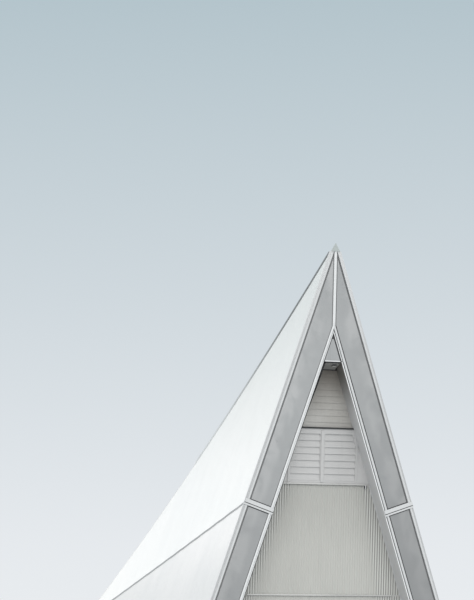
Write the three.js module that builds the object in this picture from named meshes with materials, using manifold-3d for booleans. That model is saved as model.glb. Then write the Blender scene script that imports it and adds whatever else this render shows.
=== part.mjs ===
// Modern church with a steep A-shaped front that leans forward and a ridge that falls to a low tail.
// Millimetres, +Z up, the front faces -Y, the origin is on the ground at the middle of the plan.
import * as THREE from 'three';
import { mergeVertices } from 'three/addons/utils/BufferGeometryUtils.js';
import Module from 'manifold-3d';

const wasm = await Module();
wasm.setup();

// Whole building
const LENGTH = 27000;
const FRONT_Y = -LENGTH / 2;
const REAR_Y = LENGTH / 2;
const FRONT_HALF = 5260;
const REAR_HALF = 1395;
const LEAN = THREE.MathUtils.degToRad(4.26);
const GAP = 0.3;

// Ridge, as a sagging curve along the distance behind the front apex
const RIDGE_TOP = 15015;
const RIDGE_FALL = 0.5098;
const RIDGE_SAG = 2.53e-6;
const RIDGE_HALF = 150;
const BAYS = 16;

// Roof shell, its lap seam and the concrete plinth under it
const ROOF_THICK = 265;
const SEAM_HEIGHT = 6995;
const SEAM_FALL = 0.1372;
const FLASHING_HIGH = 60;
const FLASHING_THICK = 15;
const FLASHING_START = 20;
const FLASHING_STOP = 3900;
const PLINTH_HIGH = 250;
const CAP_HIGH = 95;
const CAP_LOW_HIGH = 25;
const CAP_HALF = 165;
const CAP_SLANT = 15;
const CAP_FROM = 150;
const CAP_LOW_FROM = 12400;

// Front gable, drawn on its own plane: u across, v up the plane, w out of it
const GABLE_APEX = 15040;
const GABLE_TOP = GABLE_APEX + 15;
const PANEL_TOP = GABLE_APEX - 40;
const SPREAD = 0.3368;
const LEG_ANGLE = Math.atan(SPREAD);
const TRIM_OUTER = 184;
const TRIM_INNER = 112;
const TRIM_PROUD = 10;
const JOINT_WIDE = 59;
const JOINT_DEEP = 40;
const OUTER_FOLD = 45;
const OUTER_STEP = 25;
const INNER_FOLD = 50;
const INNER_STEP = 45;
const PANEL_WIDE = 704;
const PANEL_THICK = 60;
const LEG_FROM = 150;
const LEG_DEEP = 900;
const LEG_STEP = 6;
const TRIM_INSET = PANEL_WIDE + TRIM_INNER;
const LEG_INSET = TRIM_INSET - LEG_STEP;
const LEG_OVERRUN = 1000;
const LEG_LONG = GABLE_APEX / Math.cos(LEG_ANGLE) + LEG_OVERRUN;
const GROOVE = 24;
const CROSS_AT = 8427;
const CROSS_ABOVE = 130;
const CROSS_BELOW = 65;
const COVER_THICK = 20;
const COVER_GROOVE = 12;
const STRIP_HALF = 44;
const APEX_CAP_HALF = 135;
const APEX_CAP_DEEP = 60;
const APEX_CAP_HIGH = 270;
const APEX_CAP_BACK = 20;

// Recess in the front, as drops below the gable's apex
const INFILL_DROP = 3470;
const INFILL_TIP = 30;
const INFILL_FRONT = -20;
const INFILL_BACK = -120;
const LIP_HIGH = 30;
const LIP_FRONT = 0;
const SOFFIT_FALL = 213;
const SOFFIT_THICK = 40;
const SOFFIT_FROM = 140;
const LAMP_BACK = 270;
const LAMP_SIDE = 150;
const LAMP_WIDE = 130;
const LAMP_LONG = 110;
const LAMP_HIGH = 35;
const UPPER_WALL_DROP = 3530;
const HOOD_DROP = 5582;
const HOOD_THICK = 50;
const HOOD_PROUD = 60;
const SILL_DROP = 7345;
const SILL_PROUD = 60;
const SILL_SHORT = 95;
const HEAD_DROP = 10845;
const HEAD_PROUD = 50;
const HEAD_SHORT = 310;
const RAIL_HIGH = 45;
const WALL_BACK = 640;
const WALL_THICK = 180;

// Lap boards, shutters and doorway in the recess
const UPPER_BOARDS = 10;
const SHUTTER_BOARDS = 7;
const BOARD_LAP = 30;
const BOARD_THICK = 15;
const BOARD_IN = 20;
const SHUTTER_HALF = 1200;
const SHUTTER_PROUD = 30;
const SHUTTER_DEEP = 100;
const FRAME_WIDE = 95;
const TOP_RAIL = 163;
const FOOT_RAIL = 75;
const DOOR_HALF = 1000;
const DOOR_HIGH = 2500;
const DOOR_THICK = 60;
const DOOR_BACK = 100;
const DOOR_GAP = 2;
const DOOR_FRAME_WIDE = 70;
const DOOR_FRAME_PROUD = 30;

// Floor inside the church and in the porch
const FLOOR_HIGH = 150;
const FLOOR_CLEAR = 10;
const PORCH_STEP = 20;

// Low rear gable
const REAR_WALL_IN = 80;
const REAR_TRIM_THICK = 40;

const FAR = 60000;

const materials = {
  roof: new THREE.MeshStandardMaterial({ color: 0xf2f3f2, roughness: 0.45, metalness: 0.1 }),
  trim: new THREE.MeshStandardMaterial({ color: 0xd9dbda, roughness: 0.4, metalness: 0.2 }),
  dark: new THREE.MeshStandardMaterial({ color: 0x54585a, roughness: 0.5, metalness: 0.2 }),
  panel: new THREE.MeshStandardMaterial({ color: 0xa8abad, roughness: 0.6, metalness: 0.1 }),
  cladding: new THREE.MeshStandardMaterial({ color: 0xbdbdb8, roughness: 0.55, metalness: 0.1 }),
  shutter: new THREE.MeshStandardMaterial({ color: 0xb9b9b7, roughness: 0.6, metalness: 0.0 }),
  soffit: new THREE.MeshStandardMaterial({ color: 0x8a8986, roughness: 0.7, metalness: 0.0 }),
  concrete: new THREE.MeshStandardMaterial({ color: 0x9a9894, roughness: 0.9, metalness: 0.0 }),
  lamp: new THREE.MeshStandardMaterial({ color: 0xe8e6dc, roughness: 0.3, metalness: 0.0 }),
};

// Turns a closed geometry into a solid that can be joined and cut
function solidOf(geometry) {
  const bare = geometry.index ? geometry.clone() : geometry;
  bare.deleteAttribute('normal');
  bare.deleteAttribute('uv');
  const merged = mergeVertices(bare, 1e-4);
  return new wasm.Manifold(new wasm.Mesh({
    numProp: 3,
    vertProperties: Float32Array.from(merged.attributes.position.array),
    triVerts: Uint32Array.from(merged.index.array),
  }));
}

function geometryOf(solid) {
  const mesh = solid.getMesh();
  const geometry = new THREE.BufferGeometry();
  geometry.setAttribute('position', new THREE.BufferAttribute(mesh.vertProperties, 3));
  geometry.setIndex(new THREE.BufferAttribute(mesh.triVerts, 1));
  geometry.computeVertexNormals();
  return geometry;
}

function addPiece(parent, name, solid, material) {
  const mesh = new THREE.Mesh(geometryOf(solid), material);
  mesh.name = name;
  parent.add(mesh);
}

// A block between two corners
function block(low, high) {
  const size = high.map((value, axis) => value - low[axis]);
  const geometry = new THREE.BoxGeometry(...size);
  geometry.translate(...high.map((value, axis) => (value + low[axis]) / 2));
  return solidOf(geometry);
}

// A prism over an outline in u and v, from w = back to w = front
function prism(points, back, front) {
  const shape = new THREE.Shape(points.map(([u, v]) => new THREE.Vector2(u, v)));
  const geometry = new THREE.ExtrudeGeometry(shape, { depth: front - back, bevelEnabled: false });
  geometry.translate(0, 0, back);
  return solidOf(geometry);
}

function ridgeHeight(behind) {
  return RIDGE_TOP - RIDGE_FALL * behind + RIDGE_SAG * behind * behind;
}

// The sloping line up the roof at a share of the length: its foot and its top
function roofLine(share) {
  const frontFoot = FRONT_Y + (PANEL_THICK + GAP) / Math.cos(LEAN);
  const frontTop = frontFoot - RIDGE_TOP * Math.tan(LEAN);
  const topY = THREE.MathUtils.lerp(frontTop, REAR_Y, share);
  return {
    footX: THREE.MathUtils.lerp(FRONT_HALF, REAR_HALF, share),
    footY: THREE.MathUtils.lerp(frontFoot, REAR_Y, share),
    topY,
    topZ: ridgeHeight(topY - frontTop),
  };
}

// The whole tent of the roof as one solid, its sides moved inwards by inset; negative grows it
function tent(inset) {
  const rings = [];
  // An inner tent runs one bay past both ends, so that it cuts clean through them
  const past = inset > 0 ? 1 : 0;
  for (let bay = -past; bay <= BAYS + past; bay += 1) {
    const line = roofLine(bay / BAYS);
    const cut = Math.max(inset - RIDGE_HALF, 0) / (line.footX - RIDGE_HALF);
    const topX = Math.max(RIDGE_HALF - inset, 0);
    const topY = THREE.MathUtils.lerp(line.topY, line.footY, cut);
    const topZ = line.topZ * (1 - cut);
    const footX = line.footX - inset;
    const ring = [[-footX, line.footY, 0], [-topX, topY, topZ], [topX, topY, topZ], [footX, line.footY, 0]];
    rings.push(topX > 0 ? ring : ring.filter((point, index) => index !== 2));
  }
  return loft(rings);
}

// A closed skin over rings of points that follow each other to the rear, each clockwise seen from the front
function loft(rings) {
  const count = rings[0].length;
  const positions = rings.flat(2);
  const faces = [];
  for (let ring = 0; ring < rings.length - 1; ring += 1) {
    for (let point = 0; point < count; point += 1) {
      const next = (point + 1) % count;
      const [a, b] = [ring * count + point, ring * count + next];
      const [c, d] = [a + count, b + count];
      const climbs = point === 0;
      faces.push(...(climbs ? [a, d, c, a, b, d] : [a, b, c, b, d, c]));
    }
  }
  const last = (rings.length - 1) * count;
  for (let point = 1; point < count - 1; point += 1) {
    faces.push(0, point + 1, point);
    faces.push(last, last + point, last + point + 1);
  }
  const geometry = new THREE.BufferGeometry();
  geometry.setAttribute('position', new THREE.Float32BufferAttribute(positions, 3));
  geometry.setIndex(faces);
  return solidOf(geometry);
}

const SIDES = [{ name: 'left', sign: -1 }, { name: 'right', sign: 1 }];

function halfSpace(sign, from = GAP / 2) {
  const ends = [sign * from, sign * FAR];
  return block([Math.min(...ends), -FAR, -FAR], [Math.max(...ends), FAR, FAR]);
}

// The space between two planes that fall to the rear with the lap seam, at drops above and below it
function seamLayer(below, above) {
  const geometry = new THREE.BoxGeometry(FAR, FAR * 2, above - below);
  geometry.translate(0, 0, (above + below) / 2);
  geometry.rotateX(-Math.atan(SEAM_FALL));
  geometry.translate(0, FRONT_Y, SEAM_HEIGHT);
  return solidOf(geometry);
}

// Roof shells, plinths, seam flashings and ridge cap
function buildRoof(group) {
  const shell = tent(0).subtract(tent(ROOF_THICK));
  const skin = tent(-FLASHING_THICK).subtract(tent(-GAP));
  const abovePlinth = block([-FAR, -FAR, PLINTH_HIGH + GAP], [FAR, FAR, FAR]);
  const plinth = block([-FAR, -FAR, -FAR], [FAR, FAR, PLINTH_HIGH]);
  const start = FRONT_Y + PANEL_THICK + FLASHING_START - SEAM_HEIGHT * Math.tan(LEAN);
  const reach = block([-FAR, start, 0], [FAR, REAR_Y - FLASHING_STOP, FAR]);
  for (const { name, sign } of SIDES) {
    const half = shell.intersect(halfSpace(sign));
    const upper = half.intersect(seamLayer(GAP / 2, FAR));
    const lower = half.intersect(seamLayer(-FAR, -GAP / 2)).intersect(abovePlinth);
    const flashing = skin.intersect(halfSpace(sign, RIDGE_HALF + GAP));
    const strip = flashing.intersect(seamLayer(-FLASHING_HIGH / 2, FLASHING_HIGH / 2));
    addPiece(group, `roof_${name}_upper`, upper, materials.roof);
    addPiece(group, `roof_${name}_lower`, lower, materials.roof);
    addPiece(group, `plinth_${name}`, half.intersect(plinth), materials.concrete);
    addPiece(group, `seam_flashing_${name}`, strip.intersect(reach), materials.dark);
  }
  addPiece(group, 'ridge_cap', ridgeCap(), materials.dark);
}

// The ridge cap: a tall section over the upper part of the ridge and a flat one over its tail
function ridgeCap() {
  const tall = capRun(CAP_HIGH).intersect(alongRidge(CAP_FROM, CAP_LOW_FROM));
  const flat = capRun(CAP_LOW_HIGH).intersect(alongRidge(CAP_FROM, FAR));
  return tall.add(flat);
}

// A cap of one height over the whole ridge
function capRun(high) {
  const rings = [];
  for (let bay = 0; bay <= BAYS; bay += 1) {
    const { topY, topZ } = roofLine(bay / BAYS);
    const topHalf = CAP_HALF - CAP_SLANT;
    const left = [[-CAP_HALF, topY, topZ + GAP], [-topHalf, topY, topZ + high]];
    const right = [[topHalf, topY, topZ + high], [CAP_HALF, topY, topZ + GAP]];
    rings.push([...left, ...right]);
  }
  return loft(rings);
}

// The space between two distances behind the front end of the ridge
function alongRidge(from, to) {
  const start = roofLine(0).topY;
  return block([-FAR, start + from, 0], [FAR, start + to, FAR]);
}

// Where a line parallel to the leg, inset from the gable's drawn edge, stands at height v
function legU(v, inset) {
  return (GABLE_APEX - v) * SPREAD - inset / Math.cos(LEG_ANGLE);
}

// A point given by its distance down the leg and its inset from the gable's drawn edge
function legPoint(along, inset) {
  const u = along * Math.sin(LEG_ANGLE) - inset * Math.cos(LEG_ANGLE);
  const v = GABLE_APEX - along * Math.cos(LEG_ANGLE) - inset * Math.sin(LEG_ANGLE);
  return [u, v];
}

// A bar along one leg, between two insets and two distances down the leg
function legBar(sign, insets, alongs, back, front) {
  const [from, to] = insets;
  const [start, end] = alongs;
  const corners = [legPoint(start, from), legPoint(start, to), legPoint(end, to), legPoint(end, from)];
  return prism(corners.map(([u, v]) => [sign * u, v]), back, front);
}

// The space above the ground and below a height v, in the gable's own axes
function aboveGround(top) {
  const geometry = new THREE.BoxGeometry(FAR, FAR, FAR);
  geometry.translate(0, FAR / 2, 0);
  geometry.rotateX(-LEAN);
  const belowTop = block([-FAR, -FAR, -FAR], [FAR, top, FAR]);
  return solidOf(geometry).intersect(belowTop);
}

// Cuts a leg's bar down to a lower depth between two insets
function lowered(bar, sign, insets, depth) {
  return bar.subtract(legBar(sign, insets, [-LEG_OVERRUN, LEG_LONG], depth, TRIM_PROUD + GROOVE));
}

// The trim on the roof's edge: a sunk joint beside the panel, a raised face and a stepped outer fold
function outerTrim(sign) {
  const bar = legBar(sign, [-TRIM_OUTER, -GAP], [-LEG_OVERRUN, LEG_LONG], -PANEL_THICK, TRIM_PROUD);
  const joint = lowered(bar, sign, [-JOINT_WIDE, GROOVE], -JOINT_DEEP);
  return lowered(joint, sign, [-TRIM_OUTER - GROOVE, -TRIM_OUTER + OUTER_FOLD], TRIM_PROUD - OUTER_STEP);
}

// The trim on the recess's edge: a raised face beside the panel and a fold that steps down to the recess
function innerTrim(sign) {
  const insets = [PANEL_WIDE + GAP, TRIM_INSET];
  const bar = legBar(sign, insets, [-LEG_OVERRUN, LEG_LONG], -PANEL_THICK, TRIM_PROUD);
  return lowered(bar, sign, [TRIM_INSET - INNER_FOLD, TRIM_INSET + GROOVE], TRIM_PROUD - INNER_STEP);
}

// A band across one leg: a core as wide as the panel, and a grooved cover over both trims
function crossBand(sign, alongs) {
  const coverFront = TRIM_PROUD + COVER_THICK;
  const core = legBar(sign, [0, PANEL_WIDE], alongs, -PANEL_THICK, coverFront);
  const cover = legBar(sign, [-TRIM_OUTER, TRIM_INSET], alongs, TRIM_PROUD + GAP, coverFront);
  const line = [CROSS_AT - GROOVE / 2, CROSS_AT + GROOVE / 2];
  const across = [-TRIM_OUTER - GROOVE, TRIM_INSET + GROOVE];
  const groove = legBar(sign, across, line, coverFront - COVER_GROOVE, coverFront + GROOVE);
  return core.add(cover).subtract(groove);
}

// Panels, trims, cross bands and the deep legs behind them
function buildBands(front) {
  const toFront = new THREE.Matrix4().copy(frontMatrix()).invert();
  const room = tent(ROOF_THICK + GAP).transform(toFront.elements);
  for (const { name, sign } of SIDES) {
    const panelRoom = aboveGround(PANEL_TOP).intersect(halfSpace(sign));
    const trimRoom = aboveGround(GABLE_TOP);
    const crossTop = CROSS_AT - CROSS_ABOVE;
    const crossEnd = CROSS_AT + CROSS_BELOW;
    const upper = legBar(sign, [0, PANEL_WIDE], [-LEG_OVERRUN, crossTop - GAP], -PANEL_THICK, 0);
    const lower = legBar(sign, [0, PANEL_WIDE], [crossEnd + GAP, LEG_LONG], -PANEL_THICK, 0);
    const outer = outerTrim(sign).intersect(trimRoom).intersect(halfSpace(sign, STRIP_HALF + GAP));
    const inner = innerTrim(sign).intersect(trimRoom).intersect(halfSpace(sign));
    const legInsets = [LEG_FROM, LEG_INSET];
    const leg = legBar(sign, legInsets, [-LEG_OVERRUN, LEG_LONG], -LEG_DEEP, -PANEL_THICK - GAP * 2);
    addPiece(front, `band_panel_${name}_upper`, upper.intersect(panelRoom), materials.panel);
    addPiece(front, `band_panel_${name}_lower`, lower.intersect(panelRoom), materials.panel);
    addPiece(front, `outer_trim_${name}`, outer, materials.trim);
    addPiece(front, `inner_trim_${name}`, inner, materials.trim);
    addPiece(front, `cross_band_${name}`, crossBand(sign, [crossTop, crossEnd]), materials.trim);
    addPiece(front, `gable_leg_${name}`, leg.intersect(panelRoom).intersect(room), materials.cladding);
  }
}

// The mitre strip over the joint of the bands, notched at its foot by the inner trims
function buildCentre(front) {
  const notch = GABLE_APEX - PANEL_WIDE / Math.cos(LEG_ANGLE) / SPREAD + GAP * 2;
  const foot = notch - STRIP_HALF / SPREAD;
  const left = [[-STRIP_HALF, GABLE_TOP], [-STRIP_HALF, foot]];
  const right = [[STRIP_HALF, foot], [STRIP_HALF, GABLE_TOP]];
  const outline = [...left, [0, notch], ...right];
  addPiece(front, 'centre_strip', prism(outline, GAP, TRIM_PROUD), materials.trim);
  const cap = new THREE.ConeGeometry(APEX_CAP_HALF * Math.SQRT2, APEX_CAP_HIGH, 4);
  cap.rotateY(Math.PI / 4);
  cap.scale(1, 1, APEX_CAP_DEEP / APEX_CAP_HALF);
  cap.translate(0, GABLE_TOP + GAP + APEX_CAP_HIGH / 2, -APEX_CAP_BACK);
  addPiece(front, 'apex_cap', solidOf(cap), materials.trim);
}

// An outline across the recess, between two drops and clear of both legs or of both inner trims
function recessOutline(topDrop, footDrop, inset = LEG_INSET) {
  const [top, foot] = [GABLE_APEX - topDrop, GABLE_APEX - footDrop];
  const [topU, footU] = [legU(top, inset) - GAP, legU(foot, inset) - GAP];
  return [[-footU, foot], [footU, foot], [topU, top], [-topU, top]];
}

// A block that also keeps clear of both legs, as deep as from w = back to w = front
function fitted(low, high, back, front, inset = LEG_INSET) {
  const outline = recessOutline(GABLE_APEX - high[1], GABLE_APEX - low[1], inset);
  const whole = block([...low, back], [...high, front]);
  return whole.intersect(prism(outline, back, front));
}

// A prism across the front, over a profile of depths behind the gable's plane and heights up it
function beam(profile, left, right) {
  const shape = new THREE.Shape(profile.map(([depth, v]) => new THREE.Vector2(depth, v)));
  const geometry = new THREE.ExtrudeGeometry(shape, { depth: right - left, bevelEnabled: false });
  geometry.translate(0, 0, left);
  geometry.rotateY(Math.PI / 2);
  return solidOf(geometry);
}

// Lap boards as one solid: the foot of each stands out over the board below it
function boarding(low, high, depth, count) {
  const [left, foot] = low;
  const [right, top] = high;
  const rear = depth + BOARD_LAP + BOARD_THICK;
  const profile = [[rear, foot]];
  for (let board = 0; board < count; board += 1) {
    const from = THREE.MathUtils.lerp(foot, top, board / count);
    const to = THREE.MathUtils.lerp(foot, top, (board + 1) / count);
    profile.push([depth, from], [depth + BOARD_LAP, to]);
  }
  profile.push([rear, top]);
  return beam(profile, left, right);
}

// A frame closed by lap boards, all one piece; a leg beside it mitres its corner
function shutter(low, high, front) {
  const back = front - SHUTTER_DEEP;
  const [left, foot] = [low[0] + FRAME_WIDE, low[1] + FOOT_RAIL];
  const [right, top] = [high[0] - FRAME_WIDE, high[1] - TOP_RAIL];
  const outside = fitted(low, high, back, front);
  const inside = fitted([left, foot], [right, top], back - GAP, front + GAP, LEG_INSET + FRAME_WIDE);
  // The boards end a little way into the frame
  const bite = BOARD_THICK;
  const [coreLow, coreHigh] = [[left - bite, foot - bite], [right + bite, top + bite]];
  const core = fitted(coreLow, coreHigh, back + GAP, front - GAP, LEG_INSET + FRAME_WIDE - bite);
  const boards = boarding([low[0], foot], [high[0], top], BOARD_IN - front, SHUTTER_BOARDS);
  return outside.subtract(inside).add(boards.intersect(core));
}

// Infill, soffit, walls, boards, shutters and trims in the recess
function buildRecess(front) {
  const infillTop = TRIM_INSET / Math.cos(LEG_ANGLE) / SPREAD + INFILL_TIP;
  const infill = recessOutline(infillTop, INFILL_DROP - LIP_HIGH - GAP, TRIM_INSET);
  addPiece(front, 'gable_infill_panel', prism(infill, INFILL_BACK, INFILL_FRONT), materials.panel);
  const lip = recessOutline(INFILL_DROP - LIP_HIGH, INFILL_DROP, TRIM_INSET);
  addPiece(front, 'infill_lip', prism(lip, -SOFFIT_FROM + GAP, LIP_FRONT), materials.trim);
  addPiece(front, 'recess_soffit', soffit(), materials.soffit);
  addPiece(front, 'soffit_light', soffitLight(), materials.lamp);
  buildUpperWall(front);
  buildLowerWall(front);
  addPiece(front, 'sill_trim', rail(SILL_DROP, SILL_PROUD, SILL_SHORT), materials.trim);
  addPiece(front, 'door_head_trim', rail(HEAD_DROP, HEAD_PROUD, HEAD_SHORT), materials.trim);
}

// The upper wall behind its lap boards, and under its hood the shutters with a wall on each side
function buildUpperWall(front) {
  const face = -WALL_BACK;
  const back = face - WALL_THICK;
  const outline = recessOutline(UPPER_WALL_DROP, HOOD_DROP - GAP);
  const behindBoards = face - BOARD_LAP - BOARD_THICK - GAP;
  addPiece(front, 'upper_wall', prism(outline, back, behindBoards), materials.cladding);
  const low = [-SHUTTER_HALF, GABLE_APEX - HOOD_DROP + GAP];
  const high = [SHUTTER_HALF, GABLE_APEX - UPPER_WALL_DROP];
  const boards = boarding(low, high, WALL_BACK, UPPER_BOARDS).intersect(prism(outline, back, 0));
  addPiece(front, 'upper_boards', boards, materials.cladding);
  const hood = recessOutline(HOOD_DROP - HOOD_THICK, HOOD_DROP - GAP);
  addPiece(front, 'shutter_hood', prism(hood, face + GAP, face + HOOD_PROUD), materials.dark);

  const foot = SILL_DROP - RAIL_HIGH - GAP;
  const under = prism(recessOutline(HOOD_DROP, foot), back, face);
  for (const { name, sign } of SIDES) {
    const ends = [sign * (GAP / 2), sign * (SHUTTER_HALF - GAP)];
    const leafLow = [Math.min(...ends), GABLE_APEX - foot];
    const leafHigh = [Math.max(...ends), GABLE_APEX - HOOD_DROP];
    const leaf = shutter(leafLow, leafHigh, face + SHUTTER_PROUD);
    const beside = under.intersect(halfSpace(sign, SHUTTER_HALF));
    addPiece(front, `shutter_${name}`, leaf, materials.shutter);
    addPiece(front, `shutter_side_wall_${name}`, beside, materials.cladding);
  }
}

// A small rectangular lamp square to the sloping soffit
function soffitLight() {
  const tilt = Math.atan(SOFFIT_FALL / (WALL_BACK - SOFFIT_FROM));
  const underside = GABLE_APEX - INFILL_DROP - SOFFIT_THICK - (LAMP_BACK - SOFFIT_FROM) * Math.tan(tilt);
  const lamp = new THREE.BoxGeometry(LAMP_WIDE, LAMP_HIGH, LAMP_LONG);
  lamp.translate(0, -LAMP_HIGH / 2 - GAP * 2, 0);
  lamp.rotateX(-tilt);
  lamp.translate(LAMP_SIDE, underside, -LAMP_BACK);
  return solidOf(lamp);
}

// A level trim across the recess: a core through the wall and a shorter nose in front of it
function rail(drop, proud, short) {
  const face = -WALL_BACK;
  const core = prism(recessOutline(drop - RAIL_HIGH, drop), face - WALL_THICK, face);
  const nose = prism(recessOutline(drop - RAIL_HIGH, drop, LEG_INSET + short), face - GAP, face + proud);
  return core.add(nose);
}

// The soffit slopes down to the wall, as the ridge does
function soffit() {
  const [high, low] = [GABLE_APEX - INFILL_DROP - GAP, GABLE_APEX - INFILL_DROP - SOFFIT_FALL];
  const half = legU(high, LEG_INSET) - GAP;
  const wall = WALL_BACK - GAP;
  const nearEnd = [[SOFFIT_FROM, high], [SOFFIT_FROM, high - SOFFIT_THICK]];
  const wallEnd = [[wall, low - SOFFIT_THICK], [wall, low]];
  return beam([...nearEnd, ...wallEnd], -half, half);
}

// The ribbed wall above the door head, the walls beside and over the doorway, and the doors
function buildLowerWall(front) {
  const face = -WALL_BACK;
  const back = face - WALL_THICK;
  const above = prism(recessOutline(SILL_DROP + GAP, HEAD_DROP - RAIL_HIGH - GAP), back, face);
  addPiece(front, 'front_wall_upper', above, materials.cladding);
  const floorLine = floorTop();
  const wholeWall = prism(recessOutline(HEAD_DROP + GAP, GABLE_APEX + LEG_OVERRUN), back, face);
  const below = wholeWall.intersect(floorLine);
  const doorTop = FLOOR_HIGH + DOOR_HIGH;
  const over = below.intersect(block([-DOOR_HALF + GAP, doorTop, -FAR], [DOOR_HALF - GAP, FAR, FAR]));
  addPiece(front, 'front_wall_over_door', over, materials.cladding);
  const frameLow = [-DOOR_HALF + GAP, -FAR, back];
  const frameHigh = [DOOR_HALF - GAP, doorTop - GAP, face + DOOR_FRAME_PROUD];
  const clearHalf = DOOR_HALF - DOOR_FRAME_WIDE;
  const clearTop = doorTop - DOOR_FRAME_WIDE;
  const doorway = block([-clearHalf, -FAR, -FAR], [clearHalf, clearTop, FAR]);
  const frame = block(frameLow, frameHigh).subtract(doorway);
  addPiece(front, 'door_frame', frame.intersect(floorLine), materials.trim);
  for (const { name, sign } of SIDES) {
    const [near, far] = [sign * DOOR_GAP, sign * (clearHalf - GAP)];
    const leafLow = [Math.min(near, far), -FAR, face - DOOR_BACK];
    const leafHigh = [Math.max(near, far), clearTop - GAP, face - DOOR_BACK + DOOR_THICK];
    const wall = below.intersect(halfSpace(sign, DOOR_HALF));
    addPiece(front, `front_wall_${name}`, wall, materials.cladding);
    const leaf = block(leafLow, leafHigh).intersect(floorLine);
    addPiece(front, `door_leaf_${name}`, leaf, materials.shutter);
  }
}

// Everything above the floor, in the gable's own axes
function floorTop() {
  const geometry = new THREE.BoxGeometry(FAR, FAR, FAR);
  geometry.translate(0, FAR / 2 + FLOOR_HIGH + GAP, 0);
  geometry.rotateX(-LEAN);
  return solidOf(geometry);
}

function frontMatrix() {
  const turn = new THREE.Matrix4().makeRotationX(Math.PI / 2 + LEAN);
  return turn.setPosition(0, FRONT_Y, 0);
}

// Floor inside the church, porch floor between the legs, and the low rear gable
function buildFloorAndRear(group) {
  const legBack = FRONT_Y + (LEG_DEEP + FLOOR_CLEAR) / Math.cos(LEAN);
  const wallFace = REAR_Y - REAR_WALL_IN;
  const wallBack = wallFace - WALL_THICK;
  const floorBox = block([-FAR, legBack, 0], [FAR, wallBack - GAP, FLOOR_HIGH]);
  addPiece(group, 'floor_slab', tent(ROOF_THICK + GAP * 2).intersect(floorBox), materials.concrete);
  const half = legU(FLOOR_HIGH, LEG_INSET) - GAP * 4;
  const porch = block([-half, FRONT_Y + PANEL_THICK + PORCH_STEP, 0], [half, legBack - GAP, FLOOR_HIGH]);
  addPiece(group, 'porch_floor', porch, materials.concrete);
  const wallBox = block([-FAR, wallBack, 0], [FAR, wallFace, FAR]);
  addPiece(group, 'rear_wall', tent(ROOF_THICK + GAP).intersect(wallBox), materials.cladding);
  for (const { name, sign } of SIDES) {
    addPiece(group, `rear_trim_${name}`, rearTrim(sign), materials.trim);
  }
}

// The end of one roof slope, as a trim on its rear face
function rearTrim(sign) {
  const { footX, topZ } = roofLine(1);
  const slope = (footX - RIDGE_HALF) / topZ;
  const peak = topZ - (ROOF_THICK - RIDGE_HALF) / slope;
  const points = [[footX, 0], [RIDGE_HALF, topZ], [GAP / 2, topZ], [GAP / 2, peak], [footX - ROOF_THICK, 0]];
  const shape = new THREE.Shape(points.map(([x, z]) => new THREE.Vector2(sign * x, z)));
  const geometry = new THREE.ExtrudeGeometry(shape, { depth: REAR_TRIM_THICK, bevelEnabled: false });
  geometry.rotateX(Math.PI / 2);
  geometry.translate(0, REAR_Y + GAP + REAR_TRIM_THICK, 0);
  return solidOf(geometry);
}

const church = new THREE.Group();
const front = new THREE.Group();
front.rotation.x = Math.PI / 2 + LEAN;
front.position.y = FRONT_Y;
church.add(front);
buildRoof(church);
buildBands(front);
buildCentre(front);
buildRecess(front);
buildFloorAndRear(church);

export default church;
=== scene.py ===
"""Looks for a modern church with a steep A-shaped front that leans forward.

Metres, +Z up, the front faces -Y. The gable has axes of its own: u across, v up its plane, w out of it.
"""
import math

import bmesh
import bpy
from mathutils import Matrix, Vector


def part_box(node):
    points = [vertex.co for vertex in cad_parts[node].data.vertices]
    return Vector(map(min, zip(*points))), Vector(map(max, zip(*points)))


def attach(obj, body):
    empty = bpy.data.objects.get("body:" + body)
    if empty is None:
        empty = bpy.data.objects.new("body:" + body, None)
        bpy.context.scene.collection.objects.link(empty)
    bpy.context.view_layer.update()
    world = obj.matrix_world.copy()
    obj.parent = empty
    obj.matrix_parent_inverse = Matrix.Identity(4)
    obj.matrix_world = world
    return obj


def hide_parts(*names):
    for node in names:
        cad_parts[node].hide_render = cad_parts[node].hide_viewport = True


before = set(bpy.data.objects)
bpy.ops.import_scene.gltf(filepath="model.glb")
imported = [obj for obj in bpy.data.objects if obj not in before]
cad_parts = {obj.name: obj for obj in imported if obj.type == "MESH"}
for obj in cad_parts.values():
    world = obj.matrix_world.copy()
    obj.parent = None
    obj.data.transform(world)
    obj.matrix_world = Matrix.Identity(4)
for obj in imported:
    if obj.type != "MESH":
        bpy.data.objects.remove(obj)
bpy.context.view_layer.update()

# Gable plane and the building's ends
FRONT_Y = -13.5
REAR_Y = 13.5
LEAN = math.radians(4.26)
APEX = 15.04
SPREAD = 0.3368
LEG_ANGLE = math.atan(SPREAD)
GABLE = Matrix.Translation((0, FRONT_Y, 0)) @ Matrix.Rotation(math.pi / 2 + LEAN, 4, "X")
SIDES = (("left", -1), ("right", 1))

# Room between neighbours, and how far thin strips and folds stand out from what they lie on
GAP = 0.0003
CLEAR = 0.001
LINE_PROUD = 0.003
FOLD_PROUD = 0.004

# Where strips start above the ground, and above the floor
STRIP_FOOT = 0.03
ABOVE_FLOOR = 0.01

# Bands of the gable, as insets from its drawn edge
TRIM_OUTER = 0.184
TRIM_INNER = 0.112
TRIM_PROUD = 0.01
JOINT_WIDE = 0.059
JOINT_DEEP = 0.04
JOINT_FOOT = 0.05
RUBBER_THICK = 0.022
OUTER_FOLD = 0.045
OUTER_STEP = 0.025
VERGE_SEAM = 0.02
PANEL_WIDE = 0.704
TRIM_INSET = PANEL_WIDE + TRIM_INNER
INNER_FOLD = 0.05
INNER_STEP = 0.045
INNER_CORNER = 0.019
LEG_STEP = 0.006
LEG_INSET = TRIM_INSET - LEG_STEP
STRIP_HALF = 0.044

# Cross bands: the place down the leg, how far they reach above and below it, and the cover on them
CROSS_AT = 8.427
CROSS_ABOVE = 0.13
CROSS_BELOW = 0.065
CROSS_GROOVE = 0.024
COVER_THICK = 0.02
COVER_GROOVE = 0.012

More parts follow.
